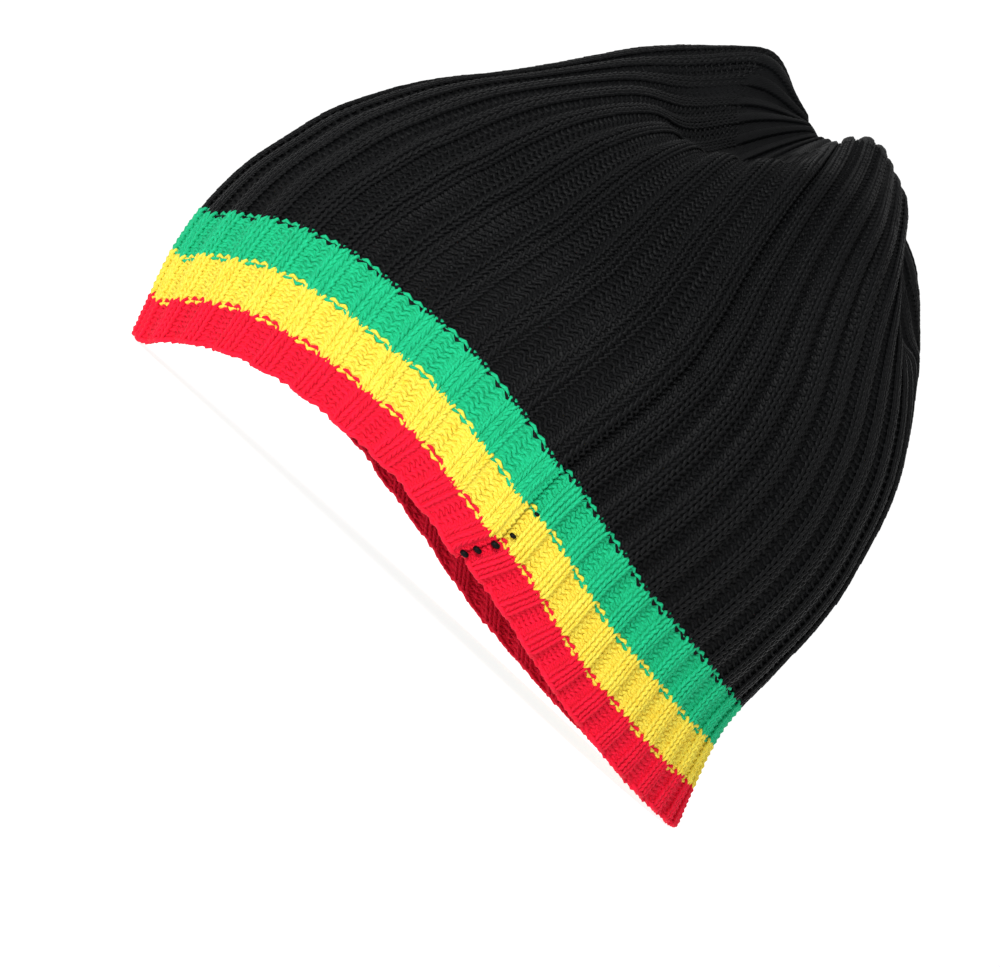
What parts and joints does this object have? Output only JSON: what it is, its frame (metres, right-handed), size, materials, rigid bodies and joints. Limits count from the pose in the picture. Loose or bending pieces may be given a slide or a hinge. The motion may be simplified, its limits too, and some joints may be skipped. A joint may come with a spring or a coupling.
{
  "type": "rib-knit cap",
  "caption": "Rib-knit beanie cap with red, yellow and green stripes at the rim and a black crown gathered at the top",
  "frame": {"origin": "on the ground under the middle of the cap's box, where the rim rests", "axes": "front of the cap -Y, back +Y, wearer's left +X, up +Z"},
  "size_m": [0.1682, 0.203, 0.1672],
  "materials": {
    "crown_knit": "black acrylic rib knit, matt",
    "green_knit": "green acrylic rib knit, matt",
    "yellow_knit": "yellow acrylic rib knit, matt",
    "red_knit": "red acrylic rib knit, matt"
  },
  "bodies": {
    "root": {"crown": "crown_knit", "green_stripe": "green_knit", "yellow_stripe": "yellow_knit", "red_stripe": "red_knit"}
  },
  "joints": []
}
